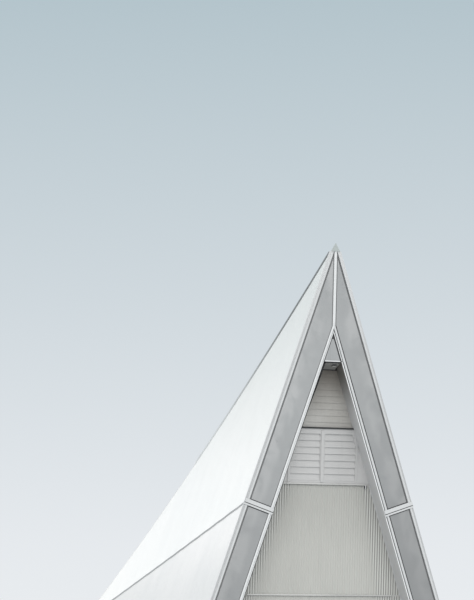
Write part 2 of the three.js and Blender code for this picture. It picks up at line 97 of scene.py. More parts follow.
# Thin dark lines on the panels, and the joints on both sides of the infill panel
LINE_WIDE = 0.03
INNER_LINES = {"left": 0.014, "right": 0.034}
INFILL_JOINTS = {"left": 0.024, "right": 0.046}

# Dark notch in the tip of the infill panel
NOTCH_HIGH = 0.2
NOTCH_BELOW_TIP = 0.01
NOTCH_GAP = 0.0005

# Rivets, with their rings as shares of the radius and the height
RIVET_RADIUS = 0.007
RIVET_HIGH = 0.004
RIVET_SIDES = 10
RIVET_RINGS = ((1.0, 0.0), (0.85, 0.55), (0.45, 0.92))

# Rows of rivets: insets with first distances down the leg, and the room left round the cross bands
RIVET_ROWS = ((-TRIM_OUTER + OUTER_FOLD + 0.02, 1.0), (PANEL_WIDE + 0.03, 3.2))
RIVET_SPACING = 0.45
RIVETS_END = 0.6
RIVETS_FREE = (CROSS_AT - 0.25, CROSS_AT + 0.2)
COVER_RIVET_IN = 0.03
COVER_RIVETS_FROM = -TRIM_OUTER + 0.05
COVER_RIVET_SPACING = 0.16

# Recess, as drops below the apex and depths behind the gable's plane
INFILL_DROP = 3.47
INFILL_FRONT = -0.02
LIP_HIGH = 0.03
SOFFIT_FALL = 0.213
SOFFIT_THICK = 0.04
SOFFIT_FROM = 0.14
LAMP_BACK = 0.27
LAMP_SIDE = 0.15
LAMP_WIDE = 0.13
LAMP_LONG = 0.11
LAMP_HIGH = 0.035
UPPER_WALL_DROP = 3.53
HOOD_DROP = 5.582
SILL_DROP = 7.345
SILL_PROUD = 0.06
SILL_SHORT = 0.095
HEAD_DROP = 10.845
HEAD_PROUD = 0.05
HEAD_SHORT = 0.31
RAIL_HIGH = 0.045
WALL_BACK = 0.64

# Near-black strip of painted shadow on the left of the recess: how far it reaches past the inner trim, by
# drop below the apex
SHADOW_STRIP_FOOT = 0.041
SHADOW_STRIP_EDGE = ((7.4, 0.041), (7.2, 0.035), (6.0, 0.036), (4.9, 0.048), (4.2, 0.082))
SHADOW_STRIP_HEAD = 0.092

# Turned-down ends of the sill: look, both edges from the rail's end, and how far each part stands out
SILL_ENDS = {
    "sill_ends": ("trim", -0.056, -0.027, SILL_PROUD),
    "sill_end_seals": ("dark_joint_and_shadow", -0.0265, -0.006, SILL_PROUD - 0.004),
    "sill_end_shades": ("dark_joint_and_shadow", -0.074, -0.0565, SILL_PROUD - 0.012),
}
SILL_END_HIGH = 0.1

# Lap boards, shutters and doors
UPPER_BOARDS = 10
SHUTTER_BOARDS = 7
BOARD_LAP = 0.03
UPPER_LAP = 0.018
BOARD_THIN = 0.009
BOARD_LIP = 0.014
BOARD_TUCK = 0.018
BOARD_IN = 0.013
BOARD_BITE = 0.01
SHUTTER_HALF = 1.2
SHUTTER_PROUD = 0.03
SHUTTER_DEEP = 0.1
FRAME_WIDE = 0.095
TOP_RAIL = 0.163
FOOT_RAIL = 0.075
MEETING_STILES = {"left": 0.111, "right": 0.047}
DOOR_HALF = 1.0
DOOR_FRAME_WIDE = 0.07
FLOOR_HIGH = 0.15
DOOR_TOP = FLOOR_HIGH + 2.5
DOOR_BACK = 0.1
DOOR_THICK = 0.06

# Ribbed sheet
RIB_PITCH = 0.083
RIB_WAVE = (0.0, 0.06, 0.7, 1.0, 0.7, 0.06)
RIB_DEEP = 0.012
RIB_STAND = 0.003
SHEET_ROWS = 12
SHARP_ANGLE = math.radians(50)

# Contrast of the ribs' painted shade and highlight: how far it reaches from the left leg, and from the right
# one, where it grows downwards
REACH_LEFT = 0.62
REACH_RIGHT = 0.34
REACH_GROWTH = 0.19
REACH_GROWS_BELOW = 7.8
RIGHT_CONTRAST = 1.15
REACH_FULL = 1.15
REACH_FADE = 0.5
REAR_CONTRAST = 0.6

# Painted shade on the ribbed sheet: near the legs, where it also stands for dust, and towards its top, the
# shadow under the sill
LEG_SHADE_AND_DUST = 0.11
LEG_SHADE_AND_DUST_WIDE = 1.5
SILL_SHADOW = 0.085
SILL_SHADOW_FROM = 5.4
SILL_SHADOW_LONG = 2.0

# Vent in the rear wall
VENT_HALF = 0.3
VENT_FOOT = 0.9
VENT_TOP = 1.4
VENT_FRAME = 0.05
VENT_BLADES = 6

# Sheets of the roof, tones that several materials share (the two greys are painted shade tones), and heights
# that nothing reaches
ROOF_SHEET_WIDE = 1.1
BLACK = (0, 0, 0)
WHITE = (1, 1, 1)
GREY_SHADE_TONE = (0.25, 0.25, 0.25)
WARM_SHADE_TONE = (0.25, 0.245, 0.235)
ABOVE_THE_ROOF = (98.0, 99.0)

# Backdrop, as heights of the view's direction with their colours
SKY_STOPS = (
    (0.0, (0.82, 0.85, 0.87)),
    (0.04, (0.79, 0.82, 0.85)),
    (0.13, (0.63, 0.69, 0.73)),
    (0.25, (0.44, 0.54, 0.59)),
    (0.34, (0.9, 0.91, 0.91)),
    (1.0, (1.0, 1.0, 0.99)),
)
FLOOR_SIZE = 900
FLOOR_LEVEL = -0.002

# Camera, fitted to the lines of the front
CAMERA_PLACE = (-33.12, -92.2, 2.42)
CAMERA_YAW = math.radians(21)
CAMERA_PITCH = math.radians(7.463)
CAMERA_FOCAL = 2700
CAMERA_REACH = 2000
PHOTO_HIGH = 600
SENSOR_HIGH = 24


# Nodes for the materials

class Shader:
    """A material's node tree, with short calls to add and join nodes."""

    def __init__(self, name, roughness, metallic=0.0):
        self.material = bpy.data.materials.new(name)
        self.material.use_nodes = True
        self.tree = self.material.node_tree
        self.surface = self.tree.nodes["Principled BSDF"]
        self.surface.inputs["Metallic"].default_value = metallic
        self.surface.inputs["Roughness"].default_value = roughness
        self.coords = self.tree.nodes.new("ShaderNodeTexCoord").outputs["Object"]

    def put(self, socket, value):
        if isinstance(value, bpy.types.NodeSocket):
            self.tree.links.new(value, socket)
        else:
            socket.default_value = value

    def math(self, operation, a, b=0.0, c=0.0):
        node = self.tree.nodes.new("ShaderNodeMath")
        node.operation = operation
        for socket, value in zip(node.inputs, (a, b, c)):
            self.put(socket, value)
        return node.outputs[0]

    def scaled(self, x=1.0, y=1.0, z=1.0, shift=(0, 0, 0)):
        node = self.tree.nodes.new("ShaderNodeMapping")
        self.put(node.inputs["Vector"], self.coords)
        node.inputs["Location"].default_value = shift
        node.inputs["Scale"].default_value = (x, y, z)
        return node.outputs[0]

    def noise(self, scale, detail, vector=None, rough=0.55, warp=0.0):
        node = self.tree.nodes.new("ShaderNodeTexNoise")
        self.put(node.inputs["Vector"], vector or self.coords)
        node.inputs["Scale"].default_value = scale
        node.inputs["Detail"].default_value = detail
        node.inputs["Roughness"].default_value = rough
        node.inputs["Distortion"].default_value = warp
        return node.outputs["Fac"]

    def axis(self, name):
        node = self.tree.nodes.new("ShaderNodeSeparateXYZ")
        self.put(node.inputs[0], self.coords)
        return node.outputs[name]

    def attribute(self, name):
        node = self.tree.nodes.new("ShaderNodeAttribute")
        node.attribute_name = name
        return node.outputs["Fac"]

    def range(self, value, low, high, to_low=0.0, to_high=1.0):
        node = self.tree.nodes.new("ShaderNodeMapRange")
        node.interpolation_type = "SMOOTHSTEP"
        for name, given in (("Value", value), ("From Min", low), ("From Max", high),
                            ("To Min", to_low), ("To Max", to_high)):
            self.put(node.inputs[name], given)
        return node.outputs["Result"]

    def mix(self, factor, a, b, blend="MIX"):
        node = self.tree.nodes.new("ShaderNodeMix")
        node.data_type = "RGBA"
        node.blend_type = blend
        self.put(node.inputs["Factor"], factor)
        for name, value in (("A", a), ("B", b)):
            self.put(node.inputs[name], value if isinstance(value, bpy.types.NodeSocket) else (*value, 1))
        return node.outputs["Result"]

    def finish(self, colour, roughness=None, height=None, strength=0.2, distance=0.01):
        self.put(self.surface.inputs["Base Color"], colour)
        if roughness is not None:
            self.put(self.surface.inputs["Roughness"], roughness)
        if height is not None:
            bump = self.tree.nodes.new("ShaderNodeBump")
            bump.inputs["Strength"].default_value = strength
            bump.inputs["Distance"].default_value = distance
            self.put(bump.inputs["Height"], height)
            self.put(self.surface.inputs["Normal"], bump.outputs["Normal"])
        return self.material


def sheet_metal(name, clean, dirty, streaks=0.35, roughness=0.42, metallic=0.0):
    """Painted sheet: faint clouds, rain streaks down the surface and a fine orange-peel grain."""
    shader = Shader(name, roughness, metallic)
    clouds = shader.noise(0.35, 3.0)
    streak = shader.noise(1.0, 4.0, vector=shader.scaled(5.0, 5.0, 0.35), rough=0.6)
    grain = shader.noise(260.0, 2.0)
    wear = shader.math("MULTIPLY", shader.range(streak, 0.5, 0.8), streaks)
    wear = shader.math("ADD", wear, shader.range(clouds, 0.35, 0.75, 0.0, streaks * 0.6))
    colour = shader.mix(wear, clean, dirty)
    speck = shader.range(grain, 0.35, 0.65, 0.97, 1.03)
    colour = shader.mix(1.0, colour, shader.mix(speck, BLACK, WHITE), "MULTIPLY")
    rough = shader.range(streak, 0.3, 0.8, roughness - 0.06, roughness + 0.16)
    height = shader.math("ADD", shader.math("MULTIPLY", clouds, 0.7), shader.math("MULTIPLY", grain, 0.02))
    return shader.finish(colour, rough, height, strength=0.12, distance=0.05)


def roof_sheet(name, clean, high_tone, high_from, high_to):
    """Coated sheets of roof and verge, with barely seen joints down the slope and another tone high up."""
    dust = (0.58, 0.595, 0.595)
    shader = Shader(name, 0.42)
    # The shift sets where the joints fall along the building
    shifted = shader.math("ADD", shader.axis("Y"), 30.0)
    from_joint = shader.math("PINGPONG", shifted, ROOF_SHEET_WIDE / 2)
    joint = shader.range(from_joint, 0.0, 0.02, 1.0, 0.0)
    clouds = shader.noise(0.16, 4.0, rough=0.6, warp=0.4)
    streak = shader.noise(1.0, 4.0, vector=shader.scaled(2.0, 2.6, 0.16), rough=0.62)
    fine = shader.noise(38.0, 3.0)
    high = shader.math("MULTIPLY_ADD", clouds, 2.5, shader.axis("Z"))
    low = shader.range(shader.axis("Z"), 0.2, 3.0, 0.45, 0.0)
    dirt = shader.math("MULTIPLY", shader.range(streak, 0.5, 0.8), shader.math("ADD", low, 0.1))
    dirt = shader.math("ADD", dirt, shader.range(clouds, 0.5, 0.8, 0.0, 0.1))
    dirt = shader.math("ADD", dirt, shader.math("MULTIPLY", joint, 0.05))
    colour = shader.mix(shader.range(high, high_from, high_to), clean, high_tone)
    colour = shader.mix(dirt, colour, dust)
    rough = shader.range(clouds, 0.3, 0.7, 0.36, 0.52)
    height = shader.math("SUBTRACT", clouds, shader.math("MULTIPLY", joint, 0.05))
    height = shader.math("ADD", height, shader.math("MULTIPLY", fine, 0.01))
    return shader.finish(colour, rough, height, strength=0.12, distance=0.06)


def mottled_panel():
    """Grey panel with soft lighter patches on its outer half, a darker inner part, a few small stains, and
    painted shade towards its foot and to the right.
    """
    grey, pale = (0.345, 0.352, 0.357), (0.43, 0.433, 0.436)
    dark_patch, pale_grain = (0.29, 0.302, 0.305), (0.5, 0.505, 0.505)
    stained, shady = (0.16, 0.17, 0.17), (0.19, 0.192, 0.195)
    shader = Shader("mottled_panel", 0.55)
    height = shader.axis("Z")
    across = shader.axis("X")
    edge = shader.math("MULTIPLY", shader.math("SUBTRACT", APEX, height), SPREAD)
    inset = shader.math("SUBTRACT", edge, shader.math("ABSOLUTE", across))
    wander = shader.noise(0.8, 2.0)
    outer = shader.range(shader.math("MULTIPLY_ADD", wander, 0.5, inset), 0.55, 0.8, 1.0, 0.0)
    outer = shader.math("MULTIPLY_ADD", outer, 0.75, 0.25)
    blotch = shader.noise(1.0, 2.0, vector=shader.scaled(1.5, 1.5, 0.9), rough=0.45, warp=0.3)
    patch = shader.noise(2.6, 2.5, rough=0.5, warp=0.4)
    grain = shader.noise(55.0, 4.0, rough=0.65)
    stain = shader.noise(2.2, 5.0, vector=shader.scaled(shift=(3.1, 0, 1.7)), rough=0.7)
    colour = shader.mix(shader.math("MULTIPLY", shader.range(blotch, 0.36, 0.6), outer), grey, pale)
    colour = shader.mix(shader.range(patch, 0.55, 0.75, 0.0, 0.35), colour, dark_patch)
    colour = shader.mix(shader.range(grain, 0.45, 0.7, 0.0, 0.12), colour, pale_grain)
    colour = shader.mix(shader.range(stain, 0.69, 0.76, 0.0, 0.4), colour, stained)
    right = shader.math("MULTIPLY", shader.range(across, -1.5, 2.5), 0.25)
    shade = shader.math("MULTIPLY_ADD", shader.range(height, 3.0, 12.0, 1.0, 0.0), 0.42, right)
    colour = shader.mix(shade, colour, shady)
    rough = shader.range(blotch, 0.35, 0.7, 0.6, 0.45)
    bumps = shader.math("ADD", blotch, shader.math("MULTIPLY", grain, 0.05))
    return shader.finish(colour, rough, bumps, strength=0.12, distance=0.03)


def concrete():
    """Rough concrete: pores, cloudy damp marks and a darker splash line near the ground."""
    dry, damp = (0.47, 0.46, 0.44), (0.34, 0.335, 0.32)
    splashed, deep = (0.2, 0.19, 0.17), (0.16, 0.16, 0.15)
    shader = Shader("concrete", 0.88)
    clouds = shader.noise(1.3, 5.0, rough=0.6)
    pores = shader.tree.nodes.new("ShaderNodeTexVoronoi")
    shader.put(pores.inputs["Vector"], shader.coords)
    pores.inputs["Scale"].default_value = 60.0
    pore = shader.range(pores.outputs["Distance"], 0.05, 0.3, 1.0, 0.0)
    grain = shader.noise(90.0, 4.0)
    splash = shader.range(shader.axis("Z"), 0.0, 0.16, 0.6, 0.0)
    colour = shader.mix(shader.range(clouds, 0.35, 0.7), dry, damp)
    colour = shader.mix(shader.math("MULTIPLY", splash, clouds), colour, splashed)
    colour = shader.mix(shader.math("MULTIPLY", pore, 0.3), colour, deep)
    rough = shader.range(clouds, 0.3, 0.7, 0.8, 0.95)
    height = shader.math("SUBTRACT", shader.math("MULTIPLY", grain, 0.5), pore)
    return shader.finish(colour, rough, height, strength=0.4, distance=0.004)


def wall_paint(name, clean, dirty, shade_tone=WARM_SHADE_TONE, corner=0.0, shade_right_from=-0.2,
               shade_heights=ABOVE_THE_ROOF):
    """Matt grey paint, dusty in streaks; on ribbed sheet, painted shade in the grooves (partly dust), a
    painted highlight on the crests and painted shade from the shade attribute; painted shade to the right and
    up high.
    """
    groove_shade_and_dust, crest_highlight, pale_grain = (0.2, 0.2, 0.19), (0.75, 0.75, 0.73), (0.78, 0.78, 0.76)
    shader = Shader(name, 0.62)
    clouds = shader.noise(0.8, 4.0, rough=0.6)
    streak = shader.noise(1.0, 4.0, vector=shader.scaled(9.0, 9.0, 0.5), rough=0.6)
    grain = shader.noise(180.0, 3.0)
    wear = shader.range(clouds, 0.3, 0.8, 0.0, 0.35)
    wear = shader.math("MULTIPLY_ADD", shader.range(streak, 0.45, 0.8), 0.3, wear)
    colour = shader.mix(wear, clean, dirty)
    # Painted shade from the shade attribute: beside the legs, partly dust, and the shadow under the sill
    colour = shader.mix(shader.attribute("shade"), colour, BLACK)
    groove = shader.attribute("groove")
    # Painted shade in the rib grooves, partly dust, and a painted highlight on the crests
    colour = shader.mix(shader.range(groove, 0.0, 0.45, 0.0, 0.75), colour, groove_shade_and_dust)
    colour = shader.mix(shader.range(groove, -0.6, 0.0, 0.5, 0.0), colour, crest_highlight)
    # Painted shade: darker up high under the soffit, and, by corner, darker towards the right where the legs
    # shade the recess
    high = shader.math("MULTIPLY_ADD", clouds, 0.5, shader.axis("Z"))
    right = shader.range(shader.axis("X"), shade_right_from, shade_right_from + 0.9, 0.0, corner)
    painted_shade = shader.math("MAXIMUM", shader.range(high, *shade_heights), right)
    colour = shader.mix(painted_shade, colour, shade_tone)
    colour = shader.mix(shader.range(grain, 0.5, 0.8, 0.0, 0.1), colour, pale_grain)
    rough = shader.range(streak, 0.3, 0.8, 0.5, 0.72)
    height = shader.math("ADD", clouds, shader.math("MULTIPLY", grain, 0.04))
    return shader.finish(colour, rough, height, strength=0.1, distance=0.02)


def ridge_metal():
    """Dark ridge cap that turns paler down the ridge and is white where it lies flat on the tail."""
    dark, dark_spot = (0.145, 0.155, 0.16), (0.185, 0.195, 0.2)
    paler_down_ridge, tail = (0.6, 0.62, 0.625), (0.88, 0.885, 0.885)
    shader = Shader("ridge_metal", 0.5)
    along = shader.axis("Y")
    mottle = shader.noise(2.0, 4.0)
    colour = shader.mix(shader.range(mottle, 0.3, 0.7), dark, dark_spot)
    colour = shader.mix(shader.range(shader.math("ADD", mottle, along), -11.5, -2.6), colour, paler_down_ridge)
    colour = shader.mix(shader.range(along, -2.25, -2.15), colour, tail)
    rough = shader.range(mottle, 0.3, 0.7, 0.42, 0.6)
    return shader.finish(colour, rough, mottle, strength=0.1, distance=0.02)


def lamp_cover():
    """Opal cover with a little dust in it."""
    opal, dusty = (0.5, 0.49, 0.465), (0.36, 0.35, 0.33)
    shader = Shader("lamp_cover", 0.3)
    dust = shader.noise(30.0, 4.0)
    colour = shader.mix(shader.range(dust, 0.4, 0.7, 0.0, 0.4), opal, dusty)
    rough = shader.range(dust, 0.3, 0.7, 0.25, 0.5)
    return shader.finish(colour, rough, dust, strength=0.1, distance=0.004)


LOOKS = {
    "roof": roof_sheet("roof_sheet_upper", (0.93, 0.925, 0.915), (0.68, 0.7, 0.695), 8.0, 15.5),
    # The lower roof sheet is darker towards its foot: painted shade
    "roof_foot": roof_sheet("roof_sheet_lower", (0.745, 0.742, 0.738), (0.9, 0.885, 0.88), 5.0, 7.9),
    "trim": sheet_metal("white_trim", (0.71, 0.715, 0.72), (0.5, 0.505, 0.51), 0.25),
    # A paler copy of the white trim: painted light in the right trim's fold, where shade falls
    "bead": sheet_metal("white_bead_lit_copy", (0.88, 0.885, 0.89), (0.7, 0.705, 0.71), 0.25),
    "band_trim": sheet_metal("grey_white_trim", (0.605, 0.61, 0.615), (0.46, 0.465, 0.47), 0.25),
    "verge": roof_sheet("verge_sheet", (0.47, 0.475, 0.48), (0.6, 0.605, 0.61), 11.5, 16.0),
    "side": sheet_metal("rear_trim_sheet", (0.76, 0.765, 0.77), (0.5, 0.51, 0.515)),
    "cap": sheet_metal("apex_cap_sheet", (0.385, 0.42, 0.415), (0.31, 0.34, 0.34), 0.5, 0.45),
    "panel": mottled_panel(),
    "infill": sheet_metal("infill_sheet", (0.36, 0.367, 0.372), (0.29, 0.295, 0.3), 0.5, 0.5),
    "dark": sheet_metal("dark_sheet", (0.06, 0.063, 0.066), (0.1, 0.105, 0.11), 0.5, 0.5),
    "seam": sheet_metal("seam_sheet", (0.32, 0.325, 0.33), (0.4, 0.41, 0.415), 0.6, 0.5),
    "ridge": ridge_metal(),
    # One rubber in two tones: the paler left copy is painted light, so its joint shows less shade than the
    # right one
    "joint_left": sheet_metal("joint_rubber_left", (0.17, 0.173, 0.176), (0.2, 0.2, 0.2), 0.6, 0.75),
    "joint_right": sheet_metal("joint_rubber_right", (0.13, 0.132, 0.135), (0.15, 0.15, 0.15), 0.6, 0.75),
    "gasket": sheet_metal("closing_rubber", (0.13, 0.133, 0.136), (0.2, 0.2, 0.2), 0.6, 0.75),
    # Near-black strip of painted shadow in the left corner of the recess
    "painted_shade": sheet_metal("black_shadow_strip", (0.012, 0.012, 0.013), (0.025, 0.025, 0.025), 0.6, 0.9),
    # Dark open joints; the same near-black also paints shadow in the soffit's strips
    "dark_joint_and_shadow": sheet_metal("open_joint_and_shadow", (0.035, 0.036, 0.038), (0.07, 0.07, 0.07), 0.6, 0.8),
    "wall": wall_paint("ribbed_wall_paint", (0.465, 0.462, 0.436), (0.4, 0.398, 0.376)),
    # Painted shade: boards and reveal darken up high under the soffit; boards, shutters, side wall and rail
    # darken to the right
    "boards": wall_paint("lap_board_paint", (0.478, 0.467, 0.446), (0.414, 0.406, 0.39),
                         (0.18, 0.163, 0.142), corner=0.33, shade_right_from=-0.5, shade_heights=(9.7, 11.7)),
    "reveal": wall_paint("reveal_paint", (0.515, 0.515, 0.518), (0.44, 0.44, 0.443),
                         (0.145, 0.138, 0.127), shade_heights=(9.9, 11.6)),
    "shutter": wall_paint("shutter_paint", (0.515, 0.51, 0.507), (0.45, 0.448, 0.445), GREY_SHADE_TONE, corner=0.2),
    "side_wall": wall_paint("side_wall_paint", (0.57, 0.565, 0.56), (0.49, 0.485, 0.48), GREY_SHADE_TONE, corner=0.2),
    "rail": wall_paint("rail_paint", (0.55, 0.545, 0.53), (0.46, 0.455, 0.445), GREY_SHADE_TONE, corner=0.3),
    # The soffit's dark paint is painted shade under the soffit
    "soffit": wall_paint("soffit_paint_shaded", (0.22, 0.22, 0.21), (0.15, 0.15, 0.145)),
    "concrete": concrete(),
    "lamp": lamp_cover(),
    "steel": sheet_metal("brushed_pull", (0.5, 0.51, 0.52), (0.3, 0.31, 0.32), 0.4, 0.3, 0.9),
}

# The CAD nodes of each look, by how their names start
NODE_LOOKS = {
    "roof": ("roof_left_upper", "roof_right_upper"),
    "roof_foot": ("roof_left_lower", "roof_right_lower"),
    "trim": ("inner_trim_left", "centre_strip", "infill_lip", "door_frame"),
    "band_trim": ("outer_trim", "inner_trim_right", "cross_band"),
    "side": ("rear_trim",),
    "cap": ("apex_cap",),
    "panel": ("band_panel",),
    "infill": ("gable_infill",),
    "dark": ("soffit_light",),
    "dark_joint_and_shadow": ("shutter_hood",),
    "seam": ("seam_flashing",),
    "ridge": ("ridge_cap",),
    "reveal": ("gable_leg",),
    "boards": ("upper_wall", "upper_boards"),
    "wall": ("front_wall", "rear_wall"),
    "shutter": ("shutter_left", "shutter_right", "door_leaf"),
    "side_wall": ("shutter_side_wall",),
    "rail": ("sill_trim", "door_head"),
    "soffit": ("recess_soffit",),
    "concrete": ("plinth", "floor_slab", "porch_floor"),
}


def dress_nodes():
    """Gives every CAD node its look."""
    for name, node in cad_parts.items():
        look = next(key for key, starts in NODE_LOOKS.items() if name.startswith(starts))
        node.data.materials.clear()
        node.data.materials.append(LOOKS[look])


# Mesh building

def rect(left, right, low, high):
    """The corners of a rectangle in u and v."""
    return [(left, low), (right, low), (right, high), (left, high)]


class Form:
    """Closed forms gathered into one mesh, placed by a matrix."""

    def __init__(self, place=GABLE):
        self.place = place
        self.verts = []
        self.faces = []

    def add(self, verts, faces):
        start = len(self.verts)
        self.verts += [self.place @ Vector(v) for v in verts]
        self.faces += [[start + index for index in face] for face in faces]

    def bridge(self, loop, other):
        """A closed form between two loops that have the same number of points."""
        count = len(loop)
        sides = [[i, (i + 1) % count, count + (i + 1) % count, count + i] for i in range(count)]
        self.add([*loop, *other], [list(range(count - 1, -1, -1)), list(range(count, 2 * count)), *sides])

    def prism(self, outline, back, front):
        """An outline in u and v, from w = back to w = front."""
        self.bridge([(u, v, back) for u, v in outline], [(u, v, front) for u, v in outline])

    def block(self, low, high):
        self.prism(rect(low[0], high[0], low[1], high[1]), low[2], high[2])

    def beam(self, profile, ends):
        """A profile of (depth, v) drawn across the front; ends gives u at both ends for a height."""
        self.bridge(*([(ends(v)[side], v, -depth) for depth, v in profile] for side in (0, 1)))

    def ring(self, outer, inner, back, front):
        """A frame between two outlines that have the same number of corners."""
        count = len(outer)
        verts = [(u, v, w) for w in (back, front) for loop in (outer, inner) for u, v in loop]
        faces = []
        for i in range(count):
            j = (i + 1) % count
            rear_outer, rear_inner, front_outer, front_inner = (
                [k * count + i, k * count + j] for k in range(4))
            faces.append([*rear_outer[::-1], *rear_inner])
            faces.append([*front_outer, *front_inner[::-1]])
            faces.append([*rear_outer, *front_outer[::-1]])
            faces.append([*rear_inner[::-1], *front_inner])
        self.add(verts, faces)

    def rivet(self, u, v, w):
        """A low rivet head that stands out along w."""
        sides = RIVET_SIDES
        verts = []
        for share, lift in RIVET_RINGS:
            reach = RIVET_RADIUS * share
            for k in range(sides):
                turn = 2 * math.pi * k / sides
                verts.append((u + reach * math.cos(turn), v + reach * math.sin(turn), w + RIVET_HIGH * lift))
        faces = [list(range(sides - 1, -1, -1)), list(range(2 * sides, 3 * sides))]
        for start in (0, sides):
            for k in range(sides):
                a, b = start + k, start + (k + 1) % sides
                faces.append([a, b, b + sides, a + sides])
        self.add(verts, faces)

    def piece(self, name, look, slot, replaced=(), bevel=0.0, smooth=False):
        mesh = bpy.data.meshes.new(name)
        mesh.from_pydata(self.verts, [], self.faces)
        shape = bmesh.new()
        shape.from_mesh(mesh)
        bmesh.ops.recalc_face_normals(shape, faces=shape.faces)
        shape.to_mesh(mesh)
        shape.free()
        mesh.polygons.foreach_set("use_smooth", [smooth] * len(mesh.polygons))
        if smooth:
            mesh.set_sharp_from_angle(angle=SHARP_ANGLE)
        mesh.materials.append(LOOKS[look])
        piece = bpy.data.objects.new(name, mesh)
        bpy.context.scene.collection.objects.link(piece)
        if bevel:
            edge = piece.modifiers.new("edge", "BEVEL")
            edge.width = bevel
            edge.segments = 2
            edge.limit_method = "ANGLE"
        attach(piece, "root")
        if replaced:
            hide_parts(*replaced)
        return piece


# Places on the gable

def leg_u(v, inset):
    """Where a line parallel to the leg stands at height v."""
    return (APEX - v) * SPREAD - inset / math.cos(LEG_ANGLE)


def leg_v(u, inset):
    """The height at which a line parallel to the leg stands at u."""
    return APEX - (u + inset / math.cos(LEG_ANGLE)) / SPREAD


def leg_point(along, inset):
    """The point at a distance down the leg from the apex and at an inset."""
    u = along * math.sin(LEG_ANGLE) - inset * math.cos(LEG_ANGLE)
    v = APEX - along * math.cos(LEG_ANGLE) - inset * math.sin(LEG_ANGLE)
    return u, v


def recess_ends(v):
    """Both ends of what fills the recess from leg to leg, at height v."""
    half = leg_u(v, LEG_INSET) - GAP
    return -half, half


def gable_floor(depth):
    """The height on the gable's own axis at which the floor stands, at a depth behind its plane."""
    return (FLOOR_HIGH - depth * math.sin(LEAN)) / math.cos(LEAN)


def soffit_under(depth):
    """The underside of the soffit at a depth behind the gable's plane."""
    return APEX - INFILL_DROP - SOFFIT_THICK - (depth - SOFFIT_FROM) * SOFFIT_FALL / (WALL_BACK - SOFFIT_FROM)


def mirrored(outline, sign):
    """An outline of the right half as it is, or turned over to the left when sign is -1."""
    return [(sign * u, v) for u, v in outline]


def leg_block(form, sign, alongs, insets, back, front):
    """A bar square to one leg, between two distances down it and two insets."""
    (start, end), (near, far) = alongs, insets
    corners = [leg_point(start, near), leg_point(start, far), leg_point(end, far), leg_point(end, near)]
    form.prism(mirrored(corners, sign), back, front)


def leg_strip(form, sign, insets, heights, back, front):
    """A strip along one leg, with level ends."""
    (near, far), (low, high) = insets, heights
    outline = [(leg_u(v, inset), v) for v, inset in ((low, near), (low, far), (high, far), (high, near))]
    form.prism(mirrored(outline, sign), back, front)


# Front

def panel_joints():
    """Rubber in the sunk joints, and thin dark lines round the rest of the grey panels."""
    beside = STRIP_HALF + CLEAR
    half = STRIP_HALF + LINE_WIDE
    foot = leg_v(STRIP_HALF, PANEL_WIDE)
    above, below = CROSS_AT - CROSS_ABOVE, CROSS_AT + CROSS_BELOW
    groove_floor = TRIM_PROUD + COVER_THICK - COVER_GROOVE
    for side, sign in SIDES:
        sunk = Form()
        outline = [(leg_u(JOINT_FOOT, 0), JOINT_FOOT), (leg_u(JOINT_FOOT, -JOINT_WIDE + GAP), JOINT_FOOT),
                   (beside, leg_v(beside, -JOINT_WIDE)), (beside, leg_v(beside, 0))]
        sunk.prism(mirrored(outline, sign), -JOINT_DEEP + GAP, -JOINT_DEEP + RUBBER_THICK)
        middle = [(STRIP_HALF, foot), (half, foot),
                  (half, leg_v(half, 0)), (STRIP_HALF, leg_v(STRIP_HALF, 0))]
        sunk.prism(mirrored(middle, sign), GAP, LINE_PROUD)
        sunk.piece(f"panel_joint_{side}", f"joint_{side}", "dark")

        lines = Form()
        insets = (PANEL_WIDE - INNER_LINES[side], PANEL_WIDE)
        leg_strip(lines, sign, insets, (STRIP_FOOT, foot), GAP, LINE_PROUD)
        for alongs in ((above - LINE_WIDE, above), (below, below + LINE_WIDE)):
            leg_block(lines, sign, alongs, (0, PANEL_WIDE), GAP, LINE_PROUD)
        groove = (CROSS_AT - CROSS_GROOVE / 2, CROSS_AT + CROSS_GROOVE / 2)
        leg_block(lines, sign, groove, (-TRIM_OUTER, TRIM_INSET),
                  groove_floor + GAP, groove_floor + FOLD_PROUD)
        lines.piece(f"panel_line_{side}", "dark_joint_and_shadow", "dark")


def trim_folds():
    """The greyer outer fold and seam of the roof trim, and the dark corner of the inner trim's step."""
    fold_top, seam_top = APEX - 0.02, APEX - 0.08
    seam = -TRIM_OUTER + OUTER_FOLD
    fold_floor = TRIM_PROUD - OUTER_STEP
    edge = TRIM_INSET - INNER_FOLD
    corner_floor = TRIM_PROUD - INNER_STEP
    corner_top = leg_v(0.02, edge)
    for side, sign in SIDES:
        fold = Form()
        leg_strip(fold, sign, (-TRIM_OUTER + CLEAR, seam - GAP), (STRIP_FOOT, fold_top),
                  fold_floor + GAP, fold_floor + FOLD_PROUD)
        leg_strip(fold, sign, (seam + GAP, seam + VERGE_SEAM), (STRIP_FOOT, seam_top),
                  TRIM_PROUD + GAP, TRIM_PROUD + LINE_PROUD)
        fold.piece(f"verge_fold_{side}", "verge", "trim")
        corner = Form()
        leg_strip(corner, sign, (edge + GAP, edge + INNER_CORNER), (STRIP_FOOT, corner_top),
                  corner_floor + GAP, corner_floor + LINE_PROUD)
        corner.piece(f"inner_trim_corner_{side}", "dark_joint_and_shadow", "dark")


